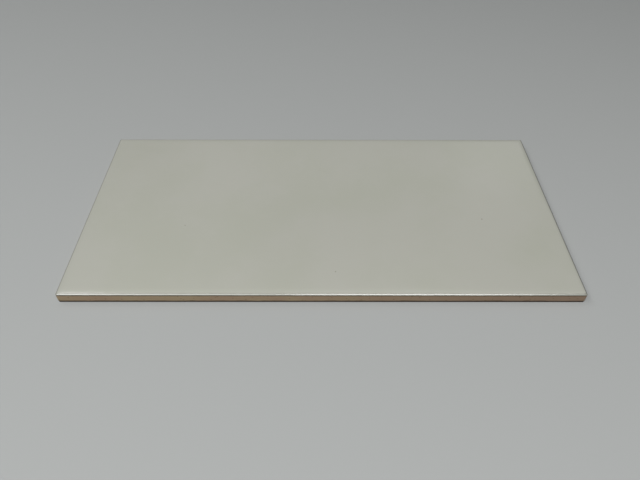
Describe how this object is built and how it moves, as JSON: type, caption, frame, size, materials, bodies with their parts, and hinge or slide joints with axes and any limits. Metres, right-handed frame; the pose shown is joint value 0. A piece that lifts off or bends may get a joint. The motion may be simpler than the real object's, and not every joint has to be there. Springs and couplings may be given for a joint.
{
  "type": "wall tile",
  "caption": "Flat rectangular glazed ceramic wall tile with a rounded cushion edge, bare biscuit sides and a ribbed back that keys into adhesive.",
  "frame": {"origin": "centre of the tile's back, on the plane of the rib crests that it lies on", "axes": "+X along the length, +Y across the width, +Z out of the glazed face"},
  "size_m": [0.3, 0.15, 0.0075],
  "materials": {
    "glazed_tile": "smooth warm off-white satin-gloss glaze on the face and over the rounded edge, bare matt buff biscuit on the sides and back"
  },
  "bodies": {
    "root": {"wall_tile": "glazed_tile"}
  },
  "joints": []
}
